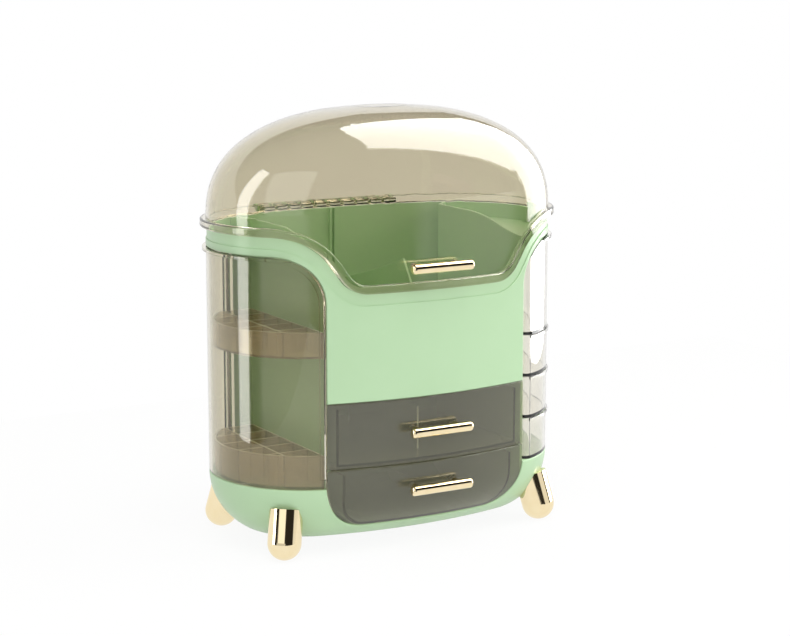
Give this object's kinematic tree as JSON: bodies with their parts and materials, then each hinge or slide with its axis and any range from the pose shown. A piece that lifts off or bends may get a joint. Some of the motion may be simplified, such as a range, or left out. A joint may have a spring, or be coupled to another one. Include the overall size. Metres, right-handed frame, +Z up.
{
  "type": "makeup organizer",
  "caption": "Oval countertop makeup organizer with a hinged clear dome over a top bin, clear front drawers, a lipstick rack door at one end, swing trays at the other, on splayed gold feet.",
  "frame": {"origin": "on the floor under the middle of the whole box", "axes": "+Z up, -Y to the front with the drawers, +X to the end with the side trays"},
  "size_m": [0.3, 0.2, 0.34],
  "materials": {
    "green_plastic": "pale mint green moulded ABS, satin",
    "gold_metal": "pale gold, polished",
    "steel": "zinc plated",
    "lid_clear": "champagne tinted clear PET, polished",
    "shell_clear": "faintly tinted clear PET, polished",
    "tray_clear": "nearly colourless clear PET, polished",
    "rack_clear": "amber tinted clear styrene, polished",
    "drawer_smoke": "smoke tinted clear PET, polished"
  },
  "bodies": {
    "carcass": {"base_bowl": "green_plastic", "foot_front_left": "gold_metal", "foot_front_right": "gold_metal", "foot_back_left": "gold_metal", "foot_back_right": "gold_metal", "foot_screws": "steel", "left_partition": "green_plastic", "right_partition": "green_plastic", "back_panel": "green_plastic", "drawer_shelf": "drawer_smoke", "bin_floor": "green_plastic", "upper_collar": "green_plastic", "bin_divider": "green_plastic", "upper_lipstick_rack": "rack_clear", "lower_lipstick_rack": "rack_clear", "door_rod": "steel", "tray_rod": "steel", "lid_hinge_pin": "steel"},
    "lid": {"lid_dome": "lid_clear", "lid_handle": "gold_metal", "lid_handle_screws": "steel"},
    "door": {"left_door": "shell_clear"},
    "upper_drawer_body": {"upper_drawer": "drawer_smoke", "upper_drawer_divider": "drawer_smoke", "upper_drawer_handle": "gold_metal", "upper_drawer_screws": "steel"},
    "lower_drawer_body": {"lower_drawer": "drawer_smoke", "lower_drawer_handle": "gold_metal", "lower_drawer_screws": "steel"},
    "tray_low": {"side_tray_low": "tray_clear"},
    "tray_second": {"side_tray_second": "tray_clear"},
    "tray_third": {"side_tray_third": "tray_clear"},
    "tray_tall": {"side_tray_tall": "tray_clear"}
  },
  "joints": [
    {"name": "lid_hinge", "type": "hinge", "parent": "carcass", "child": "lid", "pos_m": [0, 0.097, 0.2526], "axis": [-1, 0, 0], "range_deg": [0, 95]},
    {"name": "door_hinge", "type": "hinge", "parent": "carcass", "child": "door", "pos_m": [-0.1075, 0.06052, 0.145], "axis": [0, 0, -1], "range_deg": [0, 95]},
    {"name": "upper_drawer_slide", "type": "slide", "parent": "carcass", "child": "upper_drawer_body", "axis": [0, -1, 0], "range_m": [0, 0.11]},
    {"name": "lower_drawer_slide", "type": "slide", "parent": "carcass", "child": "lower_drawer_body", "axis": [0, -1, 0], "range_m": [0, 0.11]},
    {"name": "tray_low_hinge", "type": "hinge", "parent": "carcass", "child": "tray_low", "pos_m": [0.1075, 0.06052, 0.0726], "axis": [0, 0, 1], "range_deg": [0, 95]},
    {"name": "tray_second_hinge", "type": "hinge", "parent": "carcass", "child": "tray_second", "pos_m": [0.1075, 0.06052, 0.1066], "axis": [0, 0, 1], "range_deg": [0, 95]},
    {"name": "tray_third_hinge", "type": "hinge", "parent": "carcass", "child": "tray_third", "pos_m": [0.1075, 0.06052, 0.1406], "axis": [0, 0, 1], "range_deg": [0, 95]},
    {"name": "tray_tall_hinge", "type": "hinge", "parent": "carcass", "child": "tray_tall", "pos_m": [0.1075, 0.06052, 0.1959], "axis": [0, 0, 1], "range_deg": [0, 95]}
  ]
}
